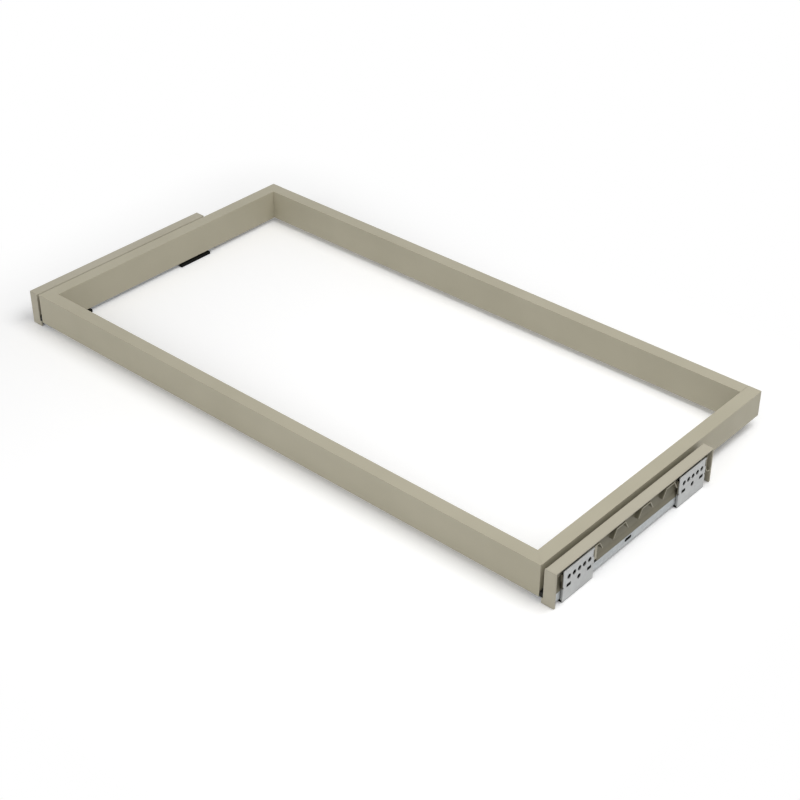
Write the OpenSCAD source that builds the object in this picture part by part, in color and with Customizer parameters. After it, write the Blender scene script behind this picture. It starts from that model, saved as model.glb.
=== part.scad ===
// Pull-out frame for a wardrobe: a rectangular ring on two concealed slides with full extension.
// The front is at -Y, the slides run along Y, and Z = 0 is the surface the slide units stand on.
// Each slide unit is described on the right-hand side and mirrored for the left-hand side.
// There, s is the distance outward from the frame's outer side face, so negative s is inside it.

/* [Frame] */
// outer width of the ring along X
frame_w = 920; // [560:1:1200]
// outer depth of the ring along Y
frame_d = 480; // [400:1:600]
// height of the ring, from the underside of the inner wall to the top face
frame_h = 47.5; // [46:0.5:56]
// width of each rail's top face
rail_w = 20; // [20:0.5:26]
// wall thickness of the rails
rail_wall = 1.5; // [1.2:0.1:1.5]
// height of the short outer wall of the side rails
outer_wall_h = 39; // [36:0.5:39]
// air between the ring's underside and the surface below
frame_lift = 7; // [7:0.5:9]
// radius of the long edges of the rails
edge_r = 0.5; // [0.3:0.1:0.8]

/* [Frame joints] */
// length of each leg of the front corner blocks, measured from the frame's outer faces
block_leg = 60; // [50:1:80]
// air around the corner blocks and plugs inside the tubes
block_air = 0.2; // [0.1:0.05:0.25]
// distance of the two screws of a front corner block from the frame's side face
block_screws = [34, 50]; // [26:1:56]
// length of the rear corner plugs
plug_l = 45; // [30:1:80]
// heights of the two screws of a rear corner plug above the frame's underside
plug_screws = [10, 38]; // [8:1:40]
// radius of the shanks of the frame's screws
screw_r = 2; // [1.5:0.1:2.5]
// radial clearance of the frame's screws in the walls they pass through
screw_air = 0.15; // [0.1:0.05:0.4]
// length of the screws in blocks and plugs
screw_l = 12; // [8:1:20]
// radius and height of the heads of the plug screws
plug_head = [3.4, 1.3]; // [1:0.1:4]
// radius and height of the heads of the slide screws
slide_head = [3.5, 1.7]; // [1:0.1:4]
// radius and depth of the hexagon sockets in the screw heads
socket = [1.3, 1]; // [0.6:0.1:1.5]

/* [Covers] */
// length of each cover; carrier rails, slides, rear plates and dampers follow it
cover_l = 330; // [280:1:390]
// air between the frame and a cover
cover_gap = 5.5; // [5:0.1:6]
// outer face of the covers, outward from the frame
cover_out = 22; // [22:0.1:23]
// distance of the covers' top below the frame's top
cover_drop = 2; // [1:0.1:3]
// wall thickness of the covers
cover_t = 1.6; // [1.4:0.1:1.8]
// thickness of the covers' two end walls
end_t = 2.4; // [2:0.1:2.6]
// outer face of the covers' deep wall, outward from the frame
deep_wall = 15; // [14:0.1:15.2]
// lower edge of the covers' inner wall above the surface below
cover_inner_z = 17.5; // [16:0.5:20]
// height over which the deep wall's foot slants out over the carrier rail
cover_foot_h = 6; // [4:0.5:8]
// how far the end walls' feet start outward from the frame, and their height
foot = [3, 8]; // [2:0.5:10]
// number of stiffening ribs in the recess
rib_n = 4; // [3:1:5]
// length of a rib's top side
rib_top = 17.8; // [12:0.2:22]
// spread and drop of a rib's slanting legs
rib_leg = [7, 12.3]; // [5:0.1:14]
// sheet thickness of the ribs
rib_t = 0.9; // [0.8:0.1:1.2]
// distance of the ribs' top below the covers' top
rib_drop = 5.7; // [4:0.1:8]
// distance of the ribs' outer edge inside the cover's outer face
rib_in = 0.4; // [0.2:0.1:1]
// width and length of the snap strip behind each front plate
finger = [4.6, 20.3]; // [3:0.1:22]

/* [Carrier rail] */
// distance of the carrier rail's ends inside the cover's ends
carrier_end = 3; // [3:0.5:6]
// sheet thickness of the carrier rail
carrier_t = 1.5; // [1.2:0.1:1.5]
// underside of the carrier rail above the surface below
carrier_z = 3.3; // [3.3:0.1:4]
// outer face of the carrier rail, outward from the frame
carrier_out = 18.4; // [18:0.1:18.6]
// inner face of the carrier rail, inward from the frame's outer face
carrier_in = 16; // [16:0.1:16.4]
// top of the carrier rail's outer wall above the surface below
carrier_top = 16.8; // [15:0.1:18]
// length and height of the oblong slot in the carrier rail's outer wall
rail_slot = [13.6, 4.6]; // [4:0.2:20]
// height of that slot's middle above the surface below
rail_slot_z = 12.2; // [11:0.1:13]
// clearance of the plug in that slot
plug_air = 0.1; // [0.05:0.05:0.3]
// length, width and pitch of the openings in the carrier rail's floor
floor_window = [18, 20, 30]; // [10:1:40]

/* [Slide] */
// how much shorter the slide members are than the cover
member_room = 30; // [28:1:60]
// sheet thickness of the slide members that carry the load
member_t = 1.2; // [1:0.1:1.2]
// sheet thickness of the middle member's web
mid_t = 1; // [0.8:0.1:1]
// half the height of the cabinet member
member_h = 16; // [15.5:0.1:16.2]
// depth of the cabinet member, from its back to the edge of its flanges
flange_l = 11; // [10.5:0.1:11]
// height of the slide's middle above the surface below
slide_z = 25; // [24.5:0.1:25.5]
// air between neighbouring webs of members and cages
web_air = 0.4; // [0.3:0.05:0.4]
// distance of the outer and the inner ball rows from the cabinet member's back
row_s = [5, 9]; // [4.5:0.1:9.5]
// distance from the middle of a ball to the flange it runs on
race = 1.2; // [1.1:0.05:1.2]
// radius of the balls
ball_r = 1.5; // [1.4:0.05:1.5]
// air between a ball and the grooves it runs in
ball_air = 0.3; // [0.25:0.05:0.3]
// number of balls in each row
ball_n = 10; // [6:1:12]
// sheet thickness of the ball cages
cage_t = 0.6; // [0.5:0.1:0.6]
// thickness of the cage strips that hold the balls
cage_strip = 0.8; // [0.7:0.05:0.8]
// width of the outer and the inner cage, from their backs
cage_w = [6.4, 7.1]; // [6:0.1:7.2]
// distance from a cage's end to its first ball
cage_end = 6; // [5:0.5:8]
// radius and height of the carrier rivets' heads
rivet_head = [3.2, 0.7]; // [0.5:0.1:3.4]
// distance of the first rivet and slide screw from the slide's front end
first_fix = 18; // [14:1:20]

/* [Bracket plates] */
// distance from the frame's front face to the front plate
bracket_y = 16; // [14:1:20]
// distance from the rear plate to the cover's rear end
bracket_end = 15; // [14:1:20]
// length of each plate
bracket_l = 60; // [58:1:66]
// height of each plate
bracket_h = 46.5; // [42:0.5:48]
// outer face of the plates, outward from the frame
bracket_out = 21.8; // [21.6:0.1:22]
// sheet thickness of the plates
bracket_t = 1.2; // [1:0.1:1.5]
// upper edge of the bent edges that are welded to the carrier rail
bracket_edge_h = 20; // [18:0.5:22]
// radius of the round screw holes
hole_r = 3.2; // [2.25:0.05:3.4]
// distance between the holes of the upper row
hole_pitch = 10; // [9:0.5:11]
// number of holes in the upper row
hole_n = 5; // [3:2:5]
// distance from the plate's front edge to the first hole
hole_first = 11; // [8:0.5:12]
// height of the upper row above the surface below
hole_row_z = 33.6; // [32:0.2:36]
// height of the lower row above the surface below
hole_low_z = 21.4; // [20:0.2:24]
// length and height of the two rectangular holes of the lower row
slot_size = [8, 4.5]; // [3:0.5:8]
// depth and height of the notch in each plate's rear edge
notch = [2, 11]; // [1:0.5:14]
// clearance of the shoes' studs in the rectangular holes
stud_air = 0.1; // [0.1:0.05:0.4]
// distance that the shoes reach inward from the frame's outer face, and the height of their lip
shoe_in = [21, 4.2]; // [4:0.1:24]

/* [Dampers] */
// distance from the damper tube's rear end to the cover's rear end
damper_end = 14; // [12:1:18]
// outer radius of the damper tubes
damper_r = 4.5; // [4:0.1:4.6]
// bore radius of the damper tubes
damper_bore = 3.4; // [3:0.1:3.6]
// length of the damper tubes
damper_l = 80; // [70:1:90]
// radius of the plunger rods
rod_r = 1.25; // [1:0.05:1.5]
// how far the rod stands out of its tube when it is pushed in
rod_out = 14; // [12:1:20]
// radius and length of the plunger tips
tip = [3.2, 5]; // [2.5:0.1:6]
// middle of the dampers, inward from the frame's outer face
damper_in = 9; // [9:0.1:9.4]

/* [Hidden] */
$fn = 64;
front = -frame_d/2;
side_x = frame_w/2;
z_under = frame_lift;
z_top = frame_lift + frame_h;
z_outer_wall = z_top - outer_wall_h;
slide_y = rail_w + 2;
member_l = cover_l - member_room;
carrier_l = cover_l - 2*carrier_end;
s_web = -carrier_in + carrier_t;
s_wall = -rail_wall;
slide_top = slide_z + member_h;
// heights of flanges and ball rows from the slide's middle, each from the one outside it
outer_row = [row_s[0], member_h - member_t - race];
mid_h = outer_row[1] - race;
inner_row = [row_s[1], mid_h - member_t - race];
drawer_h = inner_row[1] - race;
groove_r = ball_r + ball_air;
// webs from the cabinet member's back, each from the one before it
outer_cage_back = member_t + web_air;
mid_back = outer_cage_back + cage_t + web_air;
mid_flange = flange_l + 0.2;
inner_cage_back = mid_back + mid_t + web_air;
drawer_flange = inner_cage_back + cage_t + 1.5*web_air;
drawer_back = s_wall - s_web;
cage_l = member_l/2 - 6;
cage_y = slide_y + member_l/4 + 3;
cage_hole = ball_r + 0.1;
ball_pitch = (cage_l - 2*cage_end)/(ball_n - 1);
rivet_y = [for (k = [0:3]) slide_y + first_fix + k*(member_l - 30)/3];
slide_screw_y = [for (k = [0:3]) slide_y + first_fix + k*(member_l - 40)/3];
bracket_ys = [bracket_y, cover_l - bracket_end - bracket_l];
plate_gap = bracket_ys[1] - bracket_y - bracket_l;
plate_in = bracket_out - bracket_t;
hole_middle = hole_first + (hole_n - 1)/2*hole_pitch;
cover_top = z_top - cover_drop;
cover_under = cover_top - cover_t;
rib_z = cover_top - rib_drop;
rib_s = cover_out - rib_in;
rib_first = bracket_y + bracket_l + 2;
rib_pitch = (plate_gap - 22)/(rib_n - 1);
damper_s = -damper_in;
damper_z = slide_top + 6.2;
damper_y1 = cover_l - damper_end;
damper_y0 = damper_y1 - damper_l;
striker_y = damper_y0 - rod_out;
eps = 0.01;

// right-hand side for 1, left-hand side for -1
module on_side(d) {
    mirror([d < 0 ? 1 : 0, 0, 0])
        translate([side_x, front, 0])
            children();
}

// a section in s and z, run along Y from y for a length
module run_y(y, length) {
    translate([0, y + length, 0])
        rotate([90, 0, 0])
            linear_extrude(length)
                children();
}

// a box between two corners
module box(a, b) {
    translate(a)
        cube(b - a);
}

// a pin along X from s for a length
module pin_x(s, y, z, length, r) {
    translate([s, y, z])
        rotate([0, 90, 0])
            cylinder(h = length, r = r);
}

// a pin along Y
module pin_y(s, y, z, length, r) {
    translate([s, y, z])
        rotate([-90, 0, 0])
            cylinder(h = length, r = r);
}

// rectangle between two corners with its four corners rounded
module round_rect(a, b, r) {
    translate([a[0] + r, a[1]])
        square([b[0] - a[0] - 2*r, b[1] - a[1]]);
    translate([a[0], a[1] + r])
        square([b[0] - a[0], b[1] - a[1] - 2*r]);
    for (x = [a[0] + r, b[0] - r], y = [a[1] + r, b[1] - r])
        translate([x, y])
            circle(r);
}

// a shape drawn across Y and up Z, thickened outward from s
module run_s(s, length) {
    translate([s, 0, 0])
        rotate([90, 0, 90])
            linear_extrude(length)
                children();
}

// outline of a strip of width w along a list of points
function normal_at(p, i) =
    let (a = p[max(i - 1, 0)], b = p[min(i + 1, len(p) - 1)], v = (b - a)/norm(b - a)) [-v[1], v[0]];
function strip_outline(p, w) = concat(
    [for (i = [0:len(p) - 1]) p[i] + normal_at(p, i)*w/2],
    [for (i = [len(p) - 1:-1:0]) p[i] - normal_at(p, i)*w/2]
);

// closed tube section of the front and back rails, across and up
module tube_section() {
    difference() {
        round_rect([0, z_under], [rail_w, z_top], edge_r);
        translate([rail_wall, z_under + rail_wall])
            square([rail_w - 2*rail_wall, frame_h - 2*rail_wall]);
    }
}

// channel section of the side rails in s and z: deep inner wall, short outer wall, open below
module channel_section() {
    difference() {
        round_rect([-rail_w, z_under], [0, z_top], edge_r);
        translate([-rail_w + rail_wall, z_under - 1])
            square([rail_w - 2*rail_wall, frame_h - rail_wall + 1]);
        translate([-rail_w/2, z_under - 1])
            square([rail_w, z_outer_wall - z_under + 1]);
    }
}

module run_x(length) {
    translate([-length/2, 0, 0])
        rotate([90, 0, 90])
            linear_extrude(length)
                children();
}

module front_rail() {
    color([0.80, 0.77, 0.67])
        difference() {
            intersection() {
                translate([0, front, 0])
                    run_x(frame_w)
                        tube_section();
                translate([0, front, 0])
                    linear_extrude(z_top + 1)
                        polygon([
                            [-side_x, 0], [side_x, 0], [side_x - rail_w, rail_w], [-side_x + rail_w, rail_w]
                        ]);
            }
            for (d = [-1, 1], x = block_screws)
                translate([d*(side_x - x), front + rail_w/2, z_under])
                    flat_head_hole();
        }
}

module back_rail() {
    color([0.80, 0.77, 0.67])
        translate([0, -front - rail_w, 0])
            run_x(frame_w - 2*rail_w)
                tube_section();
}

module side_rail(d) {
    color([0.80, 0.77, 0.67])
        on_side(d)
            difference() {
                intersection() {
                    run_y(0, frame_d)
                        channel_section();
                    linear_extrude(z_top + 1)
                        polygon([[0, 0], [0, frame_d], [-rail_w, frame_d], [-rail_w, rail_w]]);
                }
                for (y = slide_screw_y)
                    pin_x(-rail_wall - 1, y, slide_z, rail_wall + 2, screw_r + screw_air);
                for (z = plug_screws)
                    pin_x(-rail_w - 1, frame_d - rail_w/2, z_under + z, rail_wall + 2, screw_r + screw_air);
            }
}

module left_rail() {
    side_rail(-1);
}

module right_rail() {
    side_rail(1);
}

// countersunk hole up through the bottom wall of the front tube
module flat_head_hole() {
    translate([0, 0, -1])
        cylinder(h = rail_wall + 2, r = screw_r + screw_air);
    translate([0, 0, -eps])
        cylinder(h = rail_wall + 2*eps, r1 = screw_r + screw_air + rail_wall, r2 = screw_r + screw_air);
}

// L-shaped block: full height in the front tube, shallow tongue above the slide in the side channel
module front_corner(d) {
    tongue_z = slide_top + 1.3;
    in0 = rail_wall + block_air;
    in1 = rail_w - rail_wall - block_air;
    low = z_under + rail_wall;
    high = z_top - rail_wall - block_air;
    color([0.62, 0.63, 0.64])
        on_side(d)
            difference() {
                union() {
                    translate([0, 0, tongue_z])
                        linear_extrude(high - tongue_z)
                            polygon([
                                [-block_leg, in0], [-in0, in0], [-in0, block_leg],
                                [-in1, block_leg], [-in1, in1], [-block_leg, in1]
                            ]);
                    box([-block_leg, in0, low], [-rail_w - 2, in1, tongue_z + eps]);
                }
                for (x = block_screws)
                    translate([-x, rail_w/2, low - eps])
                        cylinder(h = screw_l, r = screw_r);
                // weight-saving pocket, open to the inner end
                box([-block_leg - 1, in0 + 2.5, low + screw_l + 2], [-rail_w - 5, in1 - 2.5, tongue_z - 3]);
                // bevelled end of the tongue
                translate([-in1 - 1, block_leg - 4, tongue_z - eps])
                    rotate([45, 0, 0])
                        translate([0, 0, -6])
                            cube([rail_w, 12, 6]);
            }
}

module front_corner_l() {
    front_corner(-1);
}

module front_corner_r() {
    front_corner(1);
}

// plug in each end of the back tube, with lengthwise ribs
module rear_plug(d) {
    in0 = rail_wall + block_air;
    in1 = rail_w - rail_wall - block_air;
    low = z_under + rail_wall;
    high = z_top - rail_wall - block_air;
    color([0.62, 0.63, 0.64])
        on_side(d)
            translate([0, frame_d - rail_w, 0])
                difference() {
                    box([-rail_w - plug_l, in0, low], [-rail_w, in1, high]);
                    for (z = plug_screws)
                        pin_x(-rail_w - screw_l, rail_w/2, z_under + z, screw_l + 1, screw_r);
                    for (y = [in0 - 1, in1 - 2])
                        box([-rail_w - plug_l + 6, y, low + 14], [-rail_w - 6, y + 3, high - 12]);
                    box([-rail_w - plug_l - 1, in0 + 3, low + 5], [-rail_w - 16, in1 - 3, high - 5]);
                }
}

module rear_plug_l() {
    rear_plug(-1);
}

module rear_plug_r() {
    rear_plug(1);
}

// countersunk screws, flush with the underside of the front rail
module block_screws_set() {
    color([0.72, 0.73, 0.75])
        for (d = [-1, 1], x = block_screws)
            translate([d*(side_x - x), front + rail_w/2, z_under])
                difference() {
                    union() {
                        cylinder(h = rail_wall, r1 = screw_r + rail_wall, r2 = screw_r);
                        cylinder(h = screw_l, r = screw_r);
                    }
                    translate([0, 0, -eps])
                        cylinder(h = socket[1] + eps, r = socket[0], $fn = 6);
                }
}

// low-head screw along X: the head's outer face points to +X and sits on the wall at s
module wall_screw(s, y, z, head, length) {
    difference() {
        union() {
            pin_x(s, y, z, head[1], head[0]);
            pin_x(s - length, y, z, length + eps, screw_r);
        }
        translate([s + head[1] - socket[1], y, z])
            rotate([0, 90, 0])
                cylinder(h = socket[1] + 1, r = socket[0], $fn = 6);
    }
}

module plug_screws_set() {
    color([0.72, 0.73, 0.75])
        for (d = [-1, 1])
            on_side(d)
                for (z = plug_screws)
                    wall_screw(-rail_w + rail_wall, frame_d - rail_w/2, z_under + z, plug_head,
                        screw_l - 1);
}

// strip of the slide's section, mirrored to the top and the bottom
module twice() {
    children();
    mirror([0, 1])
        children();
}

module in_slide() {
    translate([s_web, slide_z])
        children();
}

module cabinet_section() {
    in_slide()
        difference() {
            round_rect([0, -member_h], [flange_l, member_h], 0.6);
            translate([member_t, -member_h + member_t])
                square([flange_l, 2*(member_h - member_t)]);
            twice()
                translate(outer_row)
                    circle(groove_r);
        }
}

module mid_section() {
    in_slide()
        difference() {
            round_rect([mid_back, -mid_h], [mid_flange, mid_h], 0.5);
            translate([mid_back + mid_t, -mid_h + member_t])
                square([mid_flange, 2*(mid_h - member_t)]);
            twice()
                translate(outer_row)
                    circle(groove_r);
            twice()
                translate(inner_row)
                    circle(groove_r);
        }
}

module drawer_section() {
    in_slide()
        difference() {
            round_rect([drawer_flange, -drawer_h], [drawer_back, drawer_h], 0.5);
            translate([drawer_flange - 1, -drawer_h + member_t])
                square([drawer_back - member_t - drawer_flange + 1, 2*(drawer_h - member_t)]);
            twice()
                translate(inner_row)
                    circle(groove_r);
        }
}

// middle of the space between two neighbours of a row of positions
function between(row, k) = (row[k] + row[k + 1])/2;

module cabinet_rail(d) {
    window = [12, 8];
    color([0.66, 0.67, 0.69])
        on_side(d)
            difference() {
                run_y(slide_y, member_l + 4)
                    cabinet_section();
                for (y = rivet_y)
                    rivet_hole(y);
                // bayonet windows in the web, one between each two rivets
                for (k = [0:2])
                    translate([0, between(rivet_y, k), slide_z])
                        run_s(s_web - 1, member_t + 2)
                            square(window, center = true);
            }
}

module cabinet_rail_l() {
    cabinet_rail(-1);
}

module cabinet_rail_r() {
    cabinet_rail(1);
}

module rivet_hole(y) {
    pin_x(s_web - carrier_t - 1, y, slide_z, carrier_t + member_t + 2, screw_r + 0.1);
    translate([s_web, y, slide_z])
        rotate([0, 90, 0])
            cylinder(h = member_t + eps, r1 = screw_r + 0.1, r2 = rivet_head[0] + 0.1);
}

module carrier_rivets(d) {
    color([0.70, 0.71, 0.73])
        on_side(d)
            for (y = rivet_y)
                translate([s_web, y, slide_z])
                    rotate([0, 90, 0])
                        union() {
                            cylinder(h = member_t, r1 = screw_r, r2 = rivet_head[0]);
                            translate([0, 0, -carrier_t - eps])
                                cylinder(h = carrier_t + 2*eps, r = screw_r);
                            translate([0, 0, -carrier_t - rivet_head[1]])
                                cylinder(h = rivet_head[1], r1 = rivet_head[0] - 0.8, r2 = rivet_head[0]);
                        }
}

module carrier_rivets_l() {
    carrier_rivets(-1);
}

module carrier_rivets_r() {
    carrier_rivets(1);
}

// oblong opening through a sheet, its length along Y
module slot_x(s, y, z, depth, length, r) {
    box([s, y - length/2 + r, z - r], [s + depth, y + length/2 - r, z + r]);
    pin_x(s, y - length/2 + r, z, depth, r);
    pin_x(s, y + length/2 - r, z, depth, r);
}

module mid_rail(d) {
    slots = 5;
    color([0.66, 0.67, 0.69])
        on_side(d)
            difference() {
                run_y(slide_y + 2, member_l)
                    mid_section();
                for (k = [0:slots - 1])
                    slot_x(s_web + mid_back - 1, slide_y + 2 + (k + 0.5)*member_l/slots, slide_z,
                        mid_t + 2, 26, 4);
            }
}

module mid_rail_l() {
    mid_rail(-1);
}

module mid_rail_r() {
    mid_rail(1);
}

module drawer_rail(d) {
    color([0.66, 0.67, 0.69])
        on_side(d)
            difference() {
                run_y(slide_y + 2, member_l)
                    drawer_section();
                for (y = slide_screw_y)
                    pin_x(s_wall - member_t - 1, y, slide_z, member_t + 2, screw_r + screw_air);
                for (k = [0:2])
                    slot_x(s_wall - member_t - 1, between(slide_screw_y, k), slide_z,
                        member_t + 2, 18, 2.5);
            }
}

module drawer_rail_l() {
    drawer_rail(-1);
}

module drawer_rail_r() {
    drawer_rail(1);
}

module drawer_screws(d) {
    color([0.72, 0.73, 0.75])
        on_side(d)
            for (y = slide_screw_y)
                wall_screw(0, y, slide_z, slide_head, rail_wall + member_t + 2);
}

module drawer_screws_l() {
    drawer_screws(-1);
}

module drawer_screws_r() {
    drawer_screws(1);
}

// ball cage: a web with windows, and at the top and the bottom a strip that holds a row of balls
module cage_section(back, height, width) {
    in_slide()
        difference() {
            translate([back, -height])
                square([width, 2*height]);
            translate([back + cage_t, -height + cage_strip])
                square([width, 2*(height - cage_strip)]);
        }
}

module cage(d, back, width, row) {
    on_side(d)
        difference() {
            run_y(cage_y, cage_l)
                cage_section(back, row[1] + cage_strip/2, width);
            for (k = [0:ball_n - 1])
                translate([s_web + row[0], cage_y + cage_end + k*ball_pitch, slide_z - member_h])
                    cylinder(h = 2*member_h, r = cage_hole);
            // lightening windows in the web between the balls
            for (k = [0:ball_n - 2])
                slot_x(s_web + back - 1, cage_y + cage_end + (k + 0.5)*ball_pitch, slide_z, cage_t + 2,
                    0.6*ball_pitch, 3);
        }
}

module balls(d, row) {
    color([0.86, 0.87, 0.88])
        on_side(d)
            for (k = [0:ball_n - 1], u = [-1, 1])
                translate([s_web + row[0], cage_y + cage_end + k*ball_pitch, slide_z + u*row[1]])
                    sphere(ball_r);
}

module outer_cage_l() {
    color([0.70, 0.66, 0.55])
        cage(-1, outer_cage_back, cage_w[0], outer_row);
}

module outer_cage_r() {
    color([0.70, 0.66, 0.55])
        cage(1, outer_cage_back, cage_w[0], outer_row);
}

module inner_cage_l() {
    color([0.70, 0.66, 0.55])
        cage(-1, inner_cage_back, cage_w[1], inner_row);
}

module inner_cage_r() {
    color([0.70, 0.66, 0.55])
        cage(1, inner_cage_back, cage_w[1], inner_row);
}

module outer_balls_l() {
    balls(-1, outer_row);
}

module outer_balls_r() {
    balls(1, outer_row);
}

module inner_balls_l() {
    balls(-1, inner_row);
}

module inner_balls_r() {
    balls(1, inner_row);
}

// carrier rail's section: floor and outer wall with a rounded bend
module carrier_section() {
    r = 1.6*carrier_t;
    difference() {
        union() {
            translate([-carrier_in, carrier_z])
                square([carrier_in + carrier_out, carrier_t]);
            translate([carrier_out - carrier_t, carrier_z])
                square([carrier_t, carrier_top - carrier_z]);
            translate([carrier_out - r, carrier_z])
                square([r, r]);
        }
        difference() {
            translate([carrier_out - r, carrier_z - eps])
                square([r + eps, r + eps]);
            translate([carrier_out - r, carrier_z + r])
                circle(r);
        }
    }
}

module carrier_rail(d) {
    slot_y = rib_first + 1.42*rib_pitch;
    windows = floor((plate_gap - floor_window[0])/floor_window[2]);
    first = bracket_y + bracket_l + (plate_gap - (windows - 1)*floor_window[2])/2;
    color([0.68, 0.70, 0.74])
        on_side(d)
            difference() {
                union() {
                    // the outer wall ends beside the rear plate, the floor runs on below the slide
                    run_y(carrier_end, cover_l - bracket_end - carrier_end - 1)
                        carrier_section();
                    run_y(carrier_end, carrier_l)
                        translate([-carrier_in, carrier_z])
                            square([carrier_in + 2, carrier_t]);
                    run_y(slide_y, carrier_l + carrier_end - slide_y)
                        translate([-carrier_in, carrier_z])
                            square([carrier_t, slide_top - carrier_z]);
                }
                for (y = rivet_y)
                    pin_x(-carrier_in - 1, y, slide_z, carrier_t + 2, screw_r + 0.1);
                // oblong slot that shows below the cover
                slot_x(carrier_out - carrier_t - 1, slot_y, rail_slot_z, carrier_t + 2,
                    rail_slot[0], rail_slot[1]/2);
                // openings in the floor of the rail
                for (k = [0:windows - 1])
                    translate([1, first + k*floor_window[2], carrier_z - 1])
                        linear_extrude(carrier_t + 2)
                            round_rect([-floor_window[1]/2, -floor_window[0]/2],
                                [floor_window[1]/2, floor_window[0]/2], 3);
            }
}

module carrier_rail_l() {
    carrier_rail(-1);
}

module carrier_rail_r() {
    carrier_rail(1);
}

// plug that fills the oblong slot, with a shoulder behind the rail's wall
module slot_plug(d) {
    slot_y = rib_first + 1.42*rib_pitch;
    s_in = carrier_out - carrier_t;
    shoulder = [rail_slot[0] + 4, rail_slot[1] + 2];
    color([0.05, 0.05, 0.05])
        on_side(d)
            union() {
                slot_x(s_in - eps, slot_y, rail_slot_z, carrier_t - 0.1, rail_slot[0] - 2*plug_air,
                    rail_slot[1]/2 - plug_air);
                slot_x(s_in - 1.2, slot_y, rail_slot_z, 1.2, shoulder[0], shoulder[1]/2);
            }
}

module slot_plug_l() {
    slot_plug(-1);
}

module slot_plug_r() {
    slot_plug(1);
}

// bracket plate: flat upper part with two rows of holes, lower edges bent in and welded to the rail
module bracket(d, y) {
    notch_z = rib_z - 3.2 - notch[1];
    color([0.72, 0.74, 0.76])
        on_side(d)
            difference() {
                union() {
                    run_s(plate_in, bracket_t)
                        translate([y, 0])
                            round_rect([0, 0], [bracket_l, bracket_h], 1.2);
                    for (e = [0, bracket_l - bracket_t])
                        box([carrier_out, y + e, carrier_z],
                            [plate_in + eps, y + e + bracket_t, bracket_edge_h]);
                }
                for (i = [0:hole_n - 1])
                    pin_x(plate_in - 1, y + hole_first + i*hole_pitch, hole_row_z, bracket_t + 2, hole_r);
                pin_x(plate_in - 1, y + hole_middle, hole_low_z, bracket_t + 2, hole_r);
                for (i = [0, hole_n - 1])
                    translate([0, y + hole_first + i*hole_pitch, hole_low_z])
                        run_s(plate_in - 1, bracket_t + 2)
                            round_rect(-slot_size/2, slot_size/2, 0.8);
                // bend reliefs above the two bent edges
                for (e = [0, bracket_l])
                    pin_x(carrier_out - 1, y + e, bracket_edge_h + 1.2, bracket_out - carrier_out + 2,
                        1.5);
                // notch in the rear edge, beside the cover's snap strip
                translate([0, y + bracket_l - notch[0], notch_z])
                    run_s(plate_in - 1, bracket_t + 2)
                        round_rect([0, 0], [notch[0] + 2, notch[1]], 0.6);
            }
}

module front_bracket_l() {
    bracket(-1, bracket_ys[0]);
}

module front_bracket_r() {
    bracket(1, bracket_ys[0]);
}

module rear_bracket_l() {
    bracket(-1, bracket_ys[1]);
}

module rear_bracket_r() {
    bracket(1, bracket_ys[1]);
}

// support shoe: a pad below the carrier rail, and an upright that backs the plate behind its holes
module shoe(d, y) {
    hole_air = 0.25;
    ridge = 1.8;
    collar = hole_r + 2;
    groove = [3, 1.2, 8];
    stud = slot_size - 2*[stud_air, stud_air];
    up = [y + bracket_t + 0.2, y + bracket_l - bracket_t - 0.2];
    color([0.06, 0.06, 0.06])
        on_side(d)
            difference() {
                union() {
                    box([-shoe_in[0], y, 0], [plate_in, y + bracket_l, carrier_z]);
                    box([-shoe_in[0], y, 0], [-carrier_in - 0.3, y + bracket_l, shoe_in[1]]);
                    run_s(carrier_out, plate_in - carrier_out)
                        round_rect([up[0], 0], [up[1], hole_row_z + collar], 1);
                    // ridge along the upper row, so that the screws are guided
                    run_s(carrier_out - ridge, ridge + eps)
                        round_rect([up[0], hole_row_z - collar], [up[1], hole_row_z + collar], 1);
                    // studs in the plate's two rectangular holes
                    for (i = [0, hole_n - 1])
                        translate([0, y + hole_first + i*hole_pitch, hole_low_z])
                            run_s(plate_in - eps, bracket_t - 0.1)
                                round_rect(-stud/2, stud/2, 0.6);
                }
                for (i = [0:hole_n - 1])
                    pin_x(carrier_out - ridge - 1, y + hole_first + i*hole_pitch, hole_row_z,
                        plate_in - carrier_out + ridge + 2, hole_r + hole_air);
                pin_x(carrier_out + 0.6, y + hole_middle, hole_low_z, plate_in - carrier_out,
                    hole_r + hole_air);
                // grip grooves in the underside
                for (g = [6:groove[2]:bracket_l - 6])
                    box([-shoe_in[0] + 4, y + g, -1], [carrier_out - 4, y + g + groove[0], groove[1]]);
            }
}

module front_shoe_l() {
    shoe(-1, bracket_ys[0]);
}

module front_shoe_r() {
    shoe(1, bracket_ys[0]);
}

module rear_shoe_l() {
    shoe(-1, bracket_ys[1]);
}

module rear_shoe_r() {
    shoe(1, bracket_ys[1]);
}

// black cap on the front end of the carrier rail, beside the frame's front corner
module end_cap(d) {
    top = z_outer_wall - 0.5;
    cap_l = 10;
    s_in = 0.4;
    color([0.05, 0.05, 0.05])
        on_side(d)
            difference() {
                union() {
                    box([s_in, carrier_end, carrier_z + carrier_t],
                        [deep_wall - cover_t - 0.3, carrier_end + cap_l, top]);
                    box([s_in, 0.4, foot[1] + 0.4], [cover_gap - 0.3, carrier_end + eps, top]);
                }
                // pocket, open to the top and the back
                box([s_in + 2.6, carrier_end + 2, foot[1]],
                    [deep_wall - 4, carrier_end + cap_l + 1, top + 1]);
            }
}

module end_cap_l() {
    end_cap(-1);
}

module end_cap_r() {
    end_cap(1);
}

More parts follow.
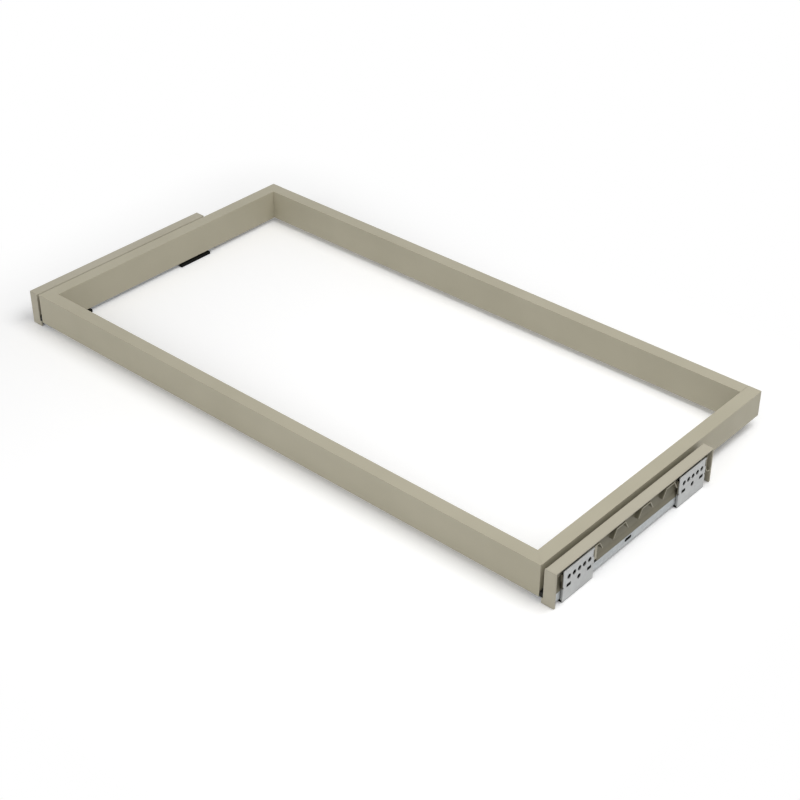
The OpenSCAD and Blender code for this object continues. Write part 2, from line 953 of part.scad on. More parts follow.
// rubber buffer that closes the rear end of the cabinet member
module rear_buffer(d) {
    y = slide_y + member_l + 2.3;
    y_end = slide_y + member_l + 4;
    back_t = 2.5;
    half = [9, 15];
    color([0.08, 0.08, 0.08])
        on_side(d)
            union() {
                box([s_web + member_t, y, slide_z - half[0]],
                    [s_web + flange_l, y_end + eps, slide_z + half[0]]);
                box([s_web - carrier_t, carrier_l + carrier_end, slide_z - half[1]],
                    [s_web, y_end + back_t, slide_z + half[1]]);
                box([s_web, y_end, slide_z - half[1]],
                    [s_web + flange_l, y_end + back_t, slide_z + half[1]]);
            }
}

module rear_buffer_l() {
    rear_buffer(-1);
}

module rear_buffer_r() {
    rear_buffer(1);
}

// stiffening rib in the recess: a flat top side between two slanting legs
module rib(y) {
    a = rib_top/2;
    b = a + rib_leg[0];
    z = rib_z - rib_leg[1];
    lean = 1.2*rib_t;
    run_s(deep_wall - 0.2, rib_s - deep_wall + 0.2)
        translate([y, 0])
            polygon([
                [-a, rib_z], [a, rib_z], [b, z], [b - lean, z],
                [a - lean/2, rib_z - rib_t], [-a + lean/2, rib_z - rib_t], [-b + lean, z], [-b, z]
            ]);
}

// bent strip between the rear plate and the rear end wall
module rear_strip() {
    y = cover_l - bracket_end;
    path = [
        [y + 3.3, rib_z - 1], [y + 1.6, rib_z - 5], [y + 0.95, rib_z - 10], [y + 0.9, rib_z - 14],
        [y + 1.7, rib_z - 18.5], [y + 3.4, rib_z - 22.5], [y + 6.2, rib_z - 25.8], [y + 9.6, rib_z - 27.2],
        [cover_l - end_t + 0.2, rib_z - 26.8]
    ];
    run_s(deep_wall - 0.2, rib_s - deep_wall + 0.2)
        polygon(strip_outline(path, 1.2*rib_t));
}

// closing wall at an end of the cover, with a foot that reaches in below the frame's side
module end_wall(y) {
    run_y(y, end_t) {
        round_rect([cover_gap, 0], [cover_out, cover_top], 0.8);
        translate([cover_gap, 0])
            square([3, 4]);
        round_rect([foot[0], 0], [cover_out - 4, foot[1]], 0.8);
    }
}

// shell of the cover: top, inner wall, and deep wall with a foot that slants out over the rail
module cover_section() {
    edge = 2;
    difference() {
        round_rect([cover_gap, cover_inner_z - 2*edge], [cover_out, cover_top], edge);
        translate([cover_gap - 1, 0])
            square([cover_out, cover_inner_z]);
        translate([cover_gap + cover_t, 0])
            square([deep_wall - 2*cover_t - cover_gap, cover_under - 0.2]);
        translate([deep_wall, 0])
            square([cover_out, cover_under]);
    }
    // crisp outer edge of the top
    round_rect([deep_wall, cover_under], [cover_out, cover_top], 0.6);
    polygon([
        [deep_wall - cover_t, carrier_z + carrier_t + 0.4], [deep_wall, carrier_z + carrier_t + 0.4],
        [deep_wall, carrier_top], [carrier_out - 0.2, carrier_top], [carrier_out - 0.2, carrier_top + 0.8],
        [deep_wall, carrier_top + cover_foot_h], [deep_wall, cover_under],
        [deep_wall - cover_t, cover_under]
    ]);
}

module cover(d) {
    ribs = [for (k = [0:rib_n - 1]) rib_first + k*rib_pitch];
    plate_edge = bracket_y + bracket_l + 0.6;
    catch_y = plate_edge + 6;
    color([0.78, 0.75, 0.64])
        on_side(d)
            difference() {
                union() {
                    intersection() {
                        union() {
                            run_y(0, cover_l)
                                cover_section();
                            end_wall(0);
                            end_wall(cover_l - end_t);
                        }
                        // plan outline: rounded at the front, square at the rear
                        linear_extrude(cover_top + 1) {
                            round_rect([foot[0], 0], [cover_out, cover_l/2], 1);
                            translate([foot[0], cover_l/4])
                                square([cover_out - foot[0], 3*cover_l/4]);
                        }
                    }
                    // cross ribs between the two walls
                    for (y = ribs)
                        box([cover_gap + 0.5, y, cover_inner_z + 2.5],
                            [deep_wall - 0.5, y + 1.2, cover_under + 0.5]);
                    difference() {
                        for (y = ribs)
                            rib(y);
                        box([deep_wall, bracket_y, 0], [cover_out, plate_edge, rib_z + 1]);
                    }
                    // snap strip beside the front plate, hung from the first rib
                    box([rib_s - rib_t, plate_edge, rib_z - finger[1]],
                        [rib_s, plate_edge + finger[0], rib_z]);
                    rear_strip();
                }
                // window through the foot behind the snap strip
                box([deep_wall + 0.4, catch_y, carrier_top - 1],
                    [cover_out, catch_y + 4.6, carrier_top + 3.4]);
                // the plates' bent edges stand in two cuts in the foot
                for (y = bracket_ys)
                    box([carrier_out - 0.3, y - 0.3, carrier_top - 1],
                        [cover_out - 1, y + bracket_l + 0.3, cover_inner_z + 8]);
            }
}

module cover_l() {
    cover(-1);
}

module cover_r() {
    cover(1);
}

module damper_tube(d) {
    wall = 2;
    color([0.30, 0.31, 0.33])
        on_side(d)
            difference() {
                pin_y(damper_s, damper_y0, damper_z, damper_l, damper_r);
                pin_y(damper_s, damper_y0 + 2*wall, damper_z, damper_l - 3*wall, damper_bore);
                pin_y(damper_s, damper_y0 - 1, damper_z, 3*wall, rod_r + 0.05);
            }
}

module damper_tube_l() {
    damper_tube(-1);
}

module damper_tube_r() {
    damper_tube(1);
}

// tray on the cabinet member that clips the damper tube with two saddles
module damper_holder(d) {
    s_out = damper_s + damper_r + 0.8;
    base_t = 3;
    saddle = 7;
    color([0.07, 0.07, 0.07])
        on_side(d)
            difference() {
                union() {
                    box([-carrier_in, damper_y0 - 4, slide_top],
                        [s_out, damper_y1 + base_t, slide_top + base_t]);
                    for (c = [damper_y0 + 8, damper_y1 - 16])
                        box([-carrier_in + 1.2, c, slide_top], [s_out, c + saddle, damper_z + 2.6]);
                    box([-carrier_in + 1.2, damper_y1 + 0.2, slide_top],
                        [s_out, damper_y1 + base_t, damper_z + 2]);
                }
                pin_y(damper_s, damper_y0 - 10, damper_z, damper_l + 10.1, damper_r + 0.05);
                // lightening windows in the tray
                for (k = [0:2])
                    translate([0, damper_y0 + damper_l/4 + k*14, 0])
                        box([-carrier_in + 3, 0, slide_top - 1], [-6, 9, slide_top + base_t + 1]);
            }
}

module damper_holder_l() {
    damper_holder(-1);
}

module damper_holder_r() {
    damper_holder(1);
}

// plunger rod with its piston, pushed in by the striker
module plunger_rod(d) {
    piston = 5;
    rod_l = damper_l - 8;
    color([0.75, 0.76, 0.78])
        on_side(d)
            union() {
                pin_y(damper_s, striker_y + 2, damper_z, rod_l, rod_r);
                pin_y(damper_s, striker_y + rod_l, damper_z, piston, damper_bore - 0.08);
            }
}

module plunger_rod_l() {
    plunger_rod(-1);
}

module plunger_rod_r() {
    plunger_rod(1);
}

module plunger_tip(d) {
    y = striker_y + 0.3;
    color([0.10, 0.10, 0.10])
        on_side(d)
            difference() {
                union() {
                    pin_y(damper_s, y, damper_z, tip[1], tip[0]);
                    pin_y(damper_s, y + tip[1] - eps, damper_z, tip[1]/2, tip[0] - 1);
                }
                pin_y(damper_s, striker_y + 2, damper_z, 2*tip[1], rod_r);
            }
}

module plunger_tip_l() {
    plunger_tip(-1);
}

module plunger_tip_r() {
    plunger_tip(1);
}

// angle that is welded to the side rail's inner wall and pushes the plunger in
module striker(d) {
    t = 1.4;
    leg = 26;
    s_in = -rail_w + rail_wall;
    z_low = slide_top + 1.6;
    z_high = z_top - rail_wall - 0.3;
    color([0.68, 0.70, 0.74])
        on_side(d)
            union() {
                box([s_in, striker_y - t, z_low], [damper_s + 5, striker_y, z_high]);
                box([s_in, striker_y - leg, z_low], [s_in + t, striker_y, z_high]);
            }
}

module striker_l() {
    striker(-1);
}

module striker_r() {
    striker(1);
}

front_rail();
back_rail();
left_rail();
right_rail();
front_corner_l();
front_corner_r();
rear_plug_l();
rear_plug_r();
block_screws_set();
plug_screws_set();
drawer_rail_l();
drawer_rail_r();
drawer_screws_l();
drawer_screws_r();
striker_l();
striker_r();
carrier_rail_l();
carrier_rail_r();
cabinet_rail_l();
cabinet_rail_r();
carrier_rivets_l();
carrier_rivets_r();
front_bracket_l();
front_bracket_r();
rear_bracket_l();
rear_bracket_r();
front_shoe_l();
front_shoe_r();
rear_shoe_l();
rear_shoe_r();
slot_plug_l();
slot_plug_r();
cover_l();
cover_r();
end_cap_l();
end_cap_r();
damper_tube_l();
damper_tube_r();
damper_holder_l();
damper_holder_r();
rear_buffer_l();
rear_buffer_r();
mid_rail_l();
mid_rail_r();
outer_cage_l();
outer_cage_r();
outer_balls_l();
outer_balls_r();
inner_cage_l();
inner_cage_r();
inner_balls_l();
inner_balls_r();
plunger_rod_l();
plunger_rod_r();
plunger_tip_l();
plunger_tip_r();
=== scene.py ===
"""Pull-out frame on two concealed slides: finishes of its pieces, floor, light and camera.

The forms all come from the CAD. This script gives them their finishes and the small marks that
are tone and relief only: grain and rubbed edges, and painted shade in the plates' holes, in narrow
gaps and in the covers' open sides.
"""
import math

import bmesh
import bpy
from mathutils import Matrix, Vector


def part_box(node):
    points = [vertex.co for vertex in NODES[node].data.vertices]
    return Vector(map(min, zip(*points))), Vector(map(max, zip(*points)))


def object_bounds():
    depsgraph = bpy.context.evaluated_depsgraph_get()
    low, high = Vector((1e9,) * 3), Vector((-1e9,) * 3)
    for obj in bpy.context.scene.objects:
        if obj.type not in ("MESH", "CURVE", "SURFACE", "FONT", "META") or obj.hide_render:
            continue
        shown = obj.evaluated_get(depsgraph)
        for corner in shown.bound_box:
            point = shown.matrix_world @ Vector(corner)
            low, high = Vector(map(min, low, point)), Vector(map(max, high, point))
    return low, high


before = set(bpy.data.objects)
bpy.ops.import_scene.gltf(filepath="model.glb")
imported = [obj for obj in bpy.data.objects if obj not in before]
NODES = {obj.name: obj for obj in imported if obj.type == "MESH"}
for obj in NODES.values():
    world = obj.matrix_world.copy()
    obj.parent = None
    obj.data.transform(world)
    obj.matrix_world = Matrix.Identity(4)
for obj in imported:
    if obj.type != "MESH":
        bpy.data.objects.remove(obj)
cad_lo, cad_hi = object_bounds()
MM = 0.001

# Pieces of the right slide unit. The masks take x without its sign, so they fit the left one too.
COVER_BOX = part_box("cover_r")
PLATES = [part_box(side + "_bracket_r") for side in ("front", "rear")]
SHOES = [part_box(side + "_shoe_r") for side in ("front", "rear")]
SLOT_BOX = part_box("slot_plug_r")

# Masks on those pieces, in metres: for the painted shade in the covers' open sides and round the
# plates' holes, and for the shoes' beige ends.
MASK_FADE = 0.5*MM           # width over which a box mask goes from 0 to 1
END_WALL = 2.4*MM            # thickness of the cover's end walls
RECESS_EDGE = COVER_BOX[1][0] - 0.3*MM      # outer edges of the ribs
RECESS_WALL = COVER_BOX[1][0] - 7.0*MM      # just inside the cover's long wall
RECESS_TOP = COVER_BOX[1][2] - 1.6*MM       # underside of the cover's top
RECESS_LOW = 20*MM           # below this height the painted shade in the covers' open side is weaker
RECESS_ENDS = (COVER_BOX[0][1] + END_WALL, COVER_BOX[1][1] - END_WALL)
RECESS_FADE = 0.3*MM
RIB_FADE = 1.8*MM            # depth over which the painted shade comes in behind the ribs' edges
LOW_SHADE_SHARE = 0.72              # share of the painted shade at RECESS_LOW
PLATE_SHADE_SHARE = 0.15            # share of the painted shade in the strip just above and behind the plates
PLATE_STRIP = (-9*MM, 10*MM)                # height of that strip, from the plates' top
PLATE_MARGIN = 2*MM
RAIL_EDGE = 19.8*MM          # just above the carrier rail's outer wall
UPRIGHT_END = 2.5*MM         # length of an upright that counts as its end
HOLE_INSET = -4.5*MM         # the plates' outlines lie outside the area of their holes
SLOT_MARGIN = 1.5*MM

# Rubbed and rounded edges, and the painted dark rims of the plates' holes, as the cosine between
# the bevelled normal and the true one.
FLAT, SHARP = 0.995, 0.90
BEVEL_SAMPLES = 4
# Open and closed in, as the share of open directions around a point, for the painted shade in holes
# and narrow gaps.
OPEN, CLOSED_IN = 0.72, 0.42
CREVICE_SAMPLES = 8
CREVICE_REACH = 4*MM
CREVICE_SHADE_SHARE = 0.92
RIM_SHADE_WIDTH = 1.3*MM                 # width of the painted dark band round each hole in the plates
RIM_SHADE_SHARE = 0.80

# near-black colour of the painted shade in holes, in narrow gaps and round the holes' edges
HOLE_SHADE_COLOUR = (0.020, 0.020, 0.019)
# dark olive of the painted shade in the covers' open sides
RECESS_SHADE_COLOUR = (0.120, 0.109, 0.070)
UPRIGHT_COLOUR = (0.300, 0.277, 0.212)
RUBBED_ZINC = (0.86, 0.87, 0.88)
BLUE_CAST = (0.88, 0.96, 1.10)
EVEN = (1, 1, 1)             # a texture that isn't stretched

# Floor, light and camera.
FLOOR = 0.80                 # colour of the floor, as it lights the object
FLOOR_SEEN = 1.11            # the same as the camera sees it, white in the open
FLOOR_HALF = 40              # metres from its middle to a side
FLOOR_DROP = 0.4*MM          # below the feet of the part
TRAVEL = 0.300               # the frame is pulled out this far over the floor
MIDDLE = (0.0, -TRAVEL/2, 0.0)              # of the floor below the frame, shut or pulled out
HALF = (cad_hi[0], cad_hi[1] + TRAVEL/2, 1.0)
WHITE_REACH = (0.010, 0.220)                # from that floor's edge, it goes over to plain white
WHITE_NEAR = 0.06            # share of plain white near the part
AMBIENT = 0.40               # strength of the light from all round
WHITE = (1, 1, 1, 1)
LAMPS = (                    # name, place, size in metres, watts; each points at the origin
    ("key_light", (0.8, 0.3, 1.9), 1.4, 21.5),
    ("front_light", (-0.3, -3.0, 1.5), 2.2, 31),
    ("side_light", (3.0, -0.3, 2.2), 2.0, 8),
)
PHOTO_PX = 800
FOCAL_PX = 1626.6            # given, 0.12 % over the 1624.6 solved from the ring's corners
AZIMUTH = math.radians(41.6193)             # this and the next four numbers are as solved
ELEVATION = math.radians(34.1323)
DISTANCE = 2.32968           # in widths of the ring, from the point aimed at
AIM = (0.62498, 0.15784)     # that point, in widths of the ring from its front left corner
SENSOR = 36                  # millimetres
RING_W, RING_D, RING_TOP = 0.92, 0.48, 0.0545


# Shader nodes
def plug(nt, value, socket):
    """link an output to the socket, or give the socket a plain value"""
    if hasattr(value, "is_output"):
        nt.links.new(value, socket)
    else:
        socket.default_value = value


def calc(nt, operation, *values):
    """result of a maths node on outputs and plain numbers"""
    m = nt.nodes.new("ShaderNodeMath")
    m.operation = operation
    for value, socket in zip(values, m.inputs):
        plug(nt, value, socket)
    return m.outputs[0]


def vector_calc(nt, operation, *values):
    """result of a vector maths node: a number for a length or a dot product, else a vector"""
    m = nt.nodes.new("ShaderNodeVectorMath")
    m.operation = operation
    for value, socket in zip(values, m.inputs):
        plug(nt, value, socket)
    return m.outputs["Value" if operation in ("LENGTH", "DOT_PRODUCT") else "Vector"]


def add(nt, a, b, factor=1.0):
    """a plus b times the factor"""
    return calc(nt, "MULTIPLY_ADD", b, factor, a)


def product(nt, factors):
    """all the factors multiplied"""
    total = factors[0]
    for factor in factors[1:]:
        total = calc(nt, "MULTIPLY", total, factor)
    return total


def ramp(nt, value, start, end, low=0.0, high=1.0):
    """takes start..end of a value to low..high, and holds the ends; start may be the larger one"""
    r = nt.nodes.new("ShaderNodeMapRange")
    for name, number in (("From Min", start), ("From Max", end), ("To Min", low), ("To Max", high)):
        r.inputs[name].default_value = number
    nt.links.new(value, r.inputs["Value"])
    return r.outputs["Result"]


def noise(nt, coord, scale, detail, rough=0.55, stretch=None):
    """fractal noise around 0.5 over the coordinates, which can be stretched first"""
    if stretch:
        m = nt.nodes.new("ShaderNodeMapping")
        m.inputs["Scale"].default_value = stretch
        nt.links.new(coord, m.inputs["Vector"])
        coord = m.outputs["Vector"]
    n = nt.nodes.new("ShaderNodeTexNoise")
    for name, number in (("Scale", scale), ("Detail", detail), ("Roughness", rough)):
        n.inputs[name].default_value = number
    nt.links.new(coord, n.inputs["Vector"])
    return n.outputs["Fac"]


def cells(nt, coord, scale, feature="F1"):
    """node of a cell texture over the coordinates"""
    v = nt.nodes.new("ShaderNodeTexVoronoi")
    v.feature = feature
    v.inputs["Scale"].default_value = scale
    nt.links.new(coord, v.inputs["Vector"])
    return v


def mix_colour(nt, fac, a, b):
    """a where fac is 0, b where it is 1; both are colours or outputs"""
    m = nt.nodes.new("ShaderNodeMix")
    m.data_type = "RGBA"
    nt.links.new(fac, m.inputs["Factor"])
    for name, value in (("A", a), ("B", b)):
        socket = [s for s in m.inputs if s.name == name and s.type == "RGBA"][0]
        plug(nt, (*value, 1) if isinstance(value, tuple) else value, socket)
    return [s for s in m.outputs if s.type == "RGBA"][0]


def mix_shader(nt, fac, a, b):
    """shader a where fac is 0, b where it is 1"""
    m = nt.nodes.new("ShaderNodeMixShader")
    for value, socket in zip((fac, a, b), m.inputs):
        nt.links.new(value, socket)
    return m.outputs["Shader"]


def tinted(nt, base, colour, mask, start, end, share=1.0):
    """the base with up to a share of the colour, as the mask goes from start to end"""
    return mix_colour(nt, ramp(nt, mask, start, end, 0.0, share), base, colour)


def shade(colour, factor, lift=0.0):
    """the colour made darker or lighter"""
    return tuple(min(1, c*factor + lift) for c in colour)


def bevelled(nt, radius):
    """normal of the surface with its edges rounded off"""
    b = nt.nodes.new("ShaderNodeBevel")
    b.samples = BEVEL_SAMPLES
    b.inputs["Radius"].default_value = radius
    return b.outputs["Normal"]


def edge_wear(nt, radius):
    """0 on flat faces, 1 along sharp edges"""
    true = nt.nodes.new("ShaderNodeNewGeometry").outputs["Normal"]
    return ramp(nt, vector_calc(nt, "DOT_PRODUCT", bevelled(nt, radius), true), FLAT, SHARP)


def crevice_shade(nt):
    """0 on open faces, more in holes and narrow gaps: the share of painted shade there, from
    ambient occlusion
    """
    ao = nt.nodes.new("ShaderNodeAmbientOcclusion")
    ao.samples = CREVICE_SAMPLES
    ao.inputs["Distance"].default_value = CREVICE_REACH
    return ramp(nt, ao.outputs["AO"], OPEN, CLOSED_IN, 0.0, CREVICE_SHADE_SHARE)


def new_material(name):
    """a material, its nodes, its surface shader and the object's own coordinates"""
    mat = bpy.data.materials.new(name)
    mat.use_nodes = True
    nt = mat.node_tree
    nt.nodes.clear()
    out = nt.nodes.new("ShaderNodeOutputMaterial")
    bsdf = nt.nodes.new("ShaderNodeBsdfPrincipled")
    nt.links.new(bsdf.outputs["BSDF"], out.inputs["Surface"])
    coord = nt.nodes.new("ShaderNodeTexCoord")
    return mat, nt, bsdf, coord.outputs["Object"]


def coat(nt, bsdf, base, rough, relief, depth, strength, edge):
    """gives the surface its colour, roughness and relief, and rounds its edges off"""
    bump = nt.nodes.new("ShaderNodeBump")
    bump.inputs["Distance"].default_value = depth
    bump.inputs["Strength"].default_value = strength
    nt.links.new(relief, bump.inputs["Height"])
    nt.links.new(bevelled(nt, edge), bump.inputs["Normal"])
    nt.links.new(bump.outputs["Normal"], bsdf.inputs["Normal"])
    nt.links.new(base, bsdf.inputs["Base Color"])
    nt.links.new(rough, bsdf.inputs["Roughness"])


# Masks on the slide units
def mirrored(nt, co):
    """a point's x without its sign, its y and its z: the two slide units mirror each other"""
    split = nt.nodes.new("ShaderNodeSeparateXYZ")
    nt.links.new(co, split.inputs["Vector"])
    return calc(nt, "ABSOLUTE", split.outputs["X"]), split.outputs["Y"], split.outputs["Z"]


def slab(box, bottom, top):
    """the box with another bottom and top"""
    lo, hi = box
    return (lo[0], lo[1], bottom), (hi[0], hi[1], top)


def within(nt, co, boxes, grow):
    """1 where a point's y and z lie in one of the boxes, each grown by so much all round"""
    split = mirrored(nt, co)
    total = None
    for box in boxes:
        inside = []
        for axis in (1, 2):
            for end, sign in ((box[0][axis], 1), (box[1][axis], -1)):
                start = end - sign*grow
                inside.append(ramp(nt, split[axis], start, start + sign*MASK_FADE))
        one = product(nt, inside)
        total = one if total is None else add(nt, total, one)
    return total


def recess_shade_mask(nt, co):
    """painted shade in the covers' open side, as the share of a dark tone: full at the wall, fading
    towards the ribs' outer edges, weaker low down and just above the plates"""
    x, y, z = mirrored(nt, co)
    strips = [slab(box, *(box[1][2] + height for height in PLATE_STRIP)) for box in PLATES]
    return product(nt, [
        ramp(nt, x, RECESS_WALL - 0.4*MM, RECESS_WALL - 0.2*MM),
        ramp(nt, x, RECESS_EDGE, RECESS_EDGE - RIB_FADE),
        ramp(nt, y, RECESS_ENDS[0], RECESS_ENDS[0] + RECESS_FADE),
        ramp(nt, y, RECESS_ENDS[1], RECESS_ENDS[1] - RECESS_FADE),
        ramp(nt, z, RECESS_TOP, RECESS_TOP - RECESS_FADE),
        ramp(nt, z, RECESS_LOW, RECESS_TOP, LOW_SHADE_SHARE, 1.0),
        ramp(nt, within(nt, co, strips, PLATE_MARGIN), 0.0, 1.0, 1.0, PLATE_SHADE_SHARE),
    ])


def upright_ends(nt, co):
    """1 on the two end faces of a shoe's upright above the carrier rail"""
    z = mirrored(nt, co)[2]
    middle = within(nt, co, [slab(box, 0.0, 1.0) for box in SHOES], -UPRIGHT_END)
    return product(nt, [ramp(nt, middle, 1.0, 0.0), ramp(nt, z, RAIL_EDGE, RAIL_EDGE + 0.4*MM)])


def hole_shade(nt, co, base, boxes, grow):
    """painted shade along the edges of the holes in the boxes, and in all holes and narrow gaps"""
    rim_shade = product(nt, [edge_wear(nt, RIM_SHADE_WIDTH), within(nt, co, boxes, grow)])
    base = tinted(nt, base, HOLE_SHADE_COLOUR, rim_shade, 0.0, 1.0, RIM_SHADE_SHARE)
    return mix_colour(nt, crevice_shade(nt), base, HOLE_SHADE_COLOUR)


# Finishes
def painted(name, colour, dark, light):
    """powder coat: fine orange peel, slow colour drift, faint handling marks and lighter edges"""
    mat, nt, bsdf, co = new_material(name)
    drift = noise(nt, co, scale=9.0, detail=2.0)
    speck = noise(nt, co, scale=2600.0, detail=2.0)
    marks = noise(nt, co, scale=60.0, detail=6.0, rough=0.7, stretch=(1.0, 1.0, 6.0))
    patches = noise(nt, co, scale=35.0, detail=4.0)
    waves = noise(nt, co, scale=1100.0, detail=3.0)
    grain = noise(nt, co, scale=3400.0, detail=2.0)
    base = tinted(nt, dark, light, drift, 0.35, 0.65)
    base = tinted(nt, base, shade(colour, 0.80), speck, 0.58, 0.72, share=0.16)
    base = tinted(nt, base, shade(colour, 1.12), marks, 0.60, 0.78, share=0.10)
    base = tinted(nt, base, shade(colour, 1.25), edge_wear(nt, 0.8*MM), 0.0, 1.0, share=0.22)
    rough = ramp(nt, patches, 0.3, 0.7, low=0.44, high=0.56)
    peel = add(nt, waves, grain, factor=0.5)
    coat(nt, bsdf, base, rough, peel, depth=0.03*MM, strength=0.5, edge=0.7*MM)
    bsdf.inputs["Specular IOR Level"].default_value = 0.42
    return mat


def moulded(name, dark, light, rough=(0.52, 0.66), grain=0.04*MM, spec=0.4, edge=0.6*MM,
            patch=None):
    """injection moulding: eroded grain, flow shading, slightly shinier rubbed spots; a patch is
    a mask and the colour that it lets through"""
    mat, nt, bsdf, co = new_material(name)
    flow = noise(nt, co, scale=22.0, detail=3.0, rough=0.6, stretch=(1.0, 0.25, 1.0))
    dust = noise(nt, co, scale=900.0, detail=5.0, rough=0.7)
    patches = noise(nt, co, scale=70.0, detail=5.0, rough=0.65)
    pits = cells(nt, co, scale=1500.0, feature="SMOOTH_F1").outputs["Distance"]
    fine = noise(nt, co, scale=3000.0, detail=2.0)
    base = tinted(nt, dark, light, flow, 0.35, 0.68)
    base = tinted(nt, base, shade(light, 1.3, lift=0.01), dust, 0.60, 0.80, share=0.12)
    if patch:
        mask, colour = patch
        base = mix_colour(nt, mask(nt, co), base, colour)
    rubbed = ramp(nt, patches, 0.3, 0.7, *rough)
    texture = add(nt, pits, fine, factor=0.6)
    coat(nt, bsdf, base, rubbed, texture, depth=grain, strength=0.6, edge=edge)
    bsdf.inputs["Specular IOR Level"].default_value = spec
    return mat


def zinc(name, dark, light, rough=(0.34, 0.50), stretch=(1.0, 0.06, 1.0), lines=900.0,
         bluish=0.10, metal=0.85, holes=None):
    """bright metal: long rolling lines, cloudy passivation, faint blue cast, and rubbed edges or,
    with holes (boxes and how much they grow), painted shade in and round the holes and in narrow
    gaps"""
    mat, nt, bsdf, co = new_material(name)
    cloud = noise(nt, co, scale=55.0, detail=5.0, rough=0.62)
    blue = noise(nt, co, scale=28.0, detail=3.0)
    roll = noise(nt, co, scale=lines, detail=3.0, rough=0.7, stretch=stretch)
    cast = tuple(min(1, c*factor) for c, factor in zip(light, BLUE_CAST))
    base = tinted(nt, dark, light, cloud, 0.32, 0.68)
    base = tinted(nt, base, cast, blue, 0.45, 0.75, share=bluish*2)
    base = tinted(nt, base, shade(dark, 0.78), roll, 0.35, 0.75, share=0.22)
    if holes:
        base = hole_shade(nt, co, base, *holes)
    else:
        base = tinted(nt, base, RUBBED_ZINC, edge_wear(nt, 0.6*MM), 0.0, 1.0, share=0.35)
    sheen = ramp(nt, add(nt, cloud, roll, factor=0.5), 0.45, 1.05, *rough)
    relief = add(nt, roll, cloud, factor=0.8)
    coat(nt, bsdf, base, sheen, relief, depth=0.02*MM, strength=0.45, edge=0.4*MM)
    bsdf.inputs["Metallic"].default_value = metal
    return mat


def spangle(name, dark, light):
    """galvanised strip: small zinc crystals over rolling lines, with painted shade round its slot
    and in narrow gaps
    """
    mat, nt, bsdf, co = new_material(name)
    crystal = nt.nodes.new("ShaderNodeSeparateColor")
    nt.links.new(cells(nt, co, scale=260.0).outputs["Color"], crystal.inputs["Color"])
    tone, gloss, height = crystal.outputs
    roll = noise(nt, co, scale=700.0, detail=3.0, rough=0.7, stretch=(1.0, 0.05, 1.0))
    base = mix_colour(nt, ramp(nt, tone, 0.0, 1.0, low=0.25, high=0.75), dark, light)
    base = tinted(nt, base, shade(dark, 0.8), roll, 0.35, 0.75, share=0.25)
    base = hole_shade(nt, co, base, [SLOT_BOX], SLOT_MARGIN)
    rough = ramp(nt, gloss, 0.0, 1.0, low=0.36, high=0.52)
    relief = add(nt, roll, height, factor=0.15)
    coat(nt, bsdf, base, rough, relief, depth=0.02*MM, strength=0.4, edge=0.4*MM)
    bsdf.inputs["Metallic"].default_value = 0.65
    return mat


FRAME = painted("frame_paint_fine", (0.405, 0.375, 0.285), (0.402, 0.372, 0.278),
                (0.433, 0.402, 0.304))
# the covers carry painted shade in their open sides
COVER = moulded("cover_beige", (0.415, 0.385, 0.300), (0.450, 0.420, 0.333), grain=0.05*MM,
                edge=1.4*MM, patch=(recess_shade_mask, RECESS_SHADE_COLOUR))
# the plates carry painted shade in and round their holes and in narrow gaps
ZINC = zinc("zinc_plate_fine", (0.434, 0.439, 0.434), (0.542, 0.552, 0.546), bluish=0.03,
            metal=0.50, holes=(PLATES, HOLE_INSET))
GALV = spangle("galvanised_strip", (0.417, 0.437, 0.448), (0.535, 0.560, 0.565))
SLIDE = zinc("slide_member_steel", (0.50, 0.51, 0.53), (0.66, 0.67, 0.69), rough=(0.28, 0.42),
             lines=1200.0)
CAGE = zinc("cage_strip_steel", (0.46, 0.43, 0.36), (0.60, 0.57, 0.48), rough=(0.38, 0.52),
            lines=1500.0, bluish=0.02)
BALL = zinc("ball_polished", (0.78, 0.78, 0.80), (0.86, 0.86, 0.88), rough=(0.06, 0.14),
            lines=300.0, bluish=0.0, metal=1.0)
SCREW = zinc("screw_zinc", (0.58, 0.59, 0.61), (0.74, 0.75, 0.77), rough=(0.26, 0.40),
             lines=2400.0, stretch=EVEN)
CAST = zinc("cast_block_alloy", (0.34, 0.34, 0.35), (0.46, 0.46, 0.47), rough=(0.5, 0.66),
            lines=500.0, stretch=EVEN, bluish=0.0, metal=0.6)
BLACK = moulded("black_plastic_fine", (0.007, 0.007, 0.006), (0.013, 0.013, 0.012),
                rough=(0.46, 0.64), spec=0.20)
SHOE = moulded("shoe_plastic_fine", (0.007, 0.007, 0.006), (0.013, 0.013, 0.012),
               rough=(0.60, 0.75), spec=0.04, patch=(upright_ends, UPRIGHT_COLOUR))
RUBBER = moulded("black_rubber_fine", (0.012, 0.012, 0.012), (0.020, 0.020, 0.021),
                 rough=(0.72, 0.88), spec=0.2)
DAMPER = painted("damper_sleeve", (0.030, 0.031, 0.034), (0.028, 0.029, 0.032),
                 (0.036, 0.037, 0.040))
ROD = zinc("ground_rod", (0.66, 0.67, 0.69), (0.78, 0.79, 0.81), rough=(0.12, 0.22),
           lines=3000.0, stretch=(1, 0.1, 1), metal=1.0)

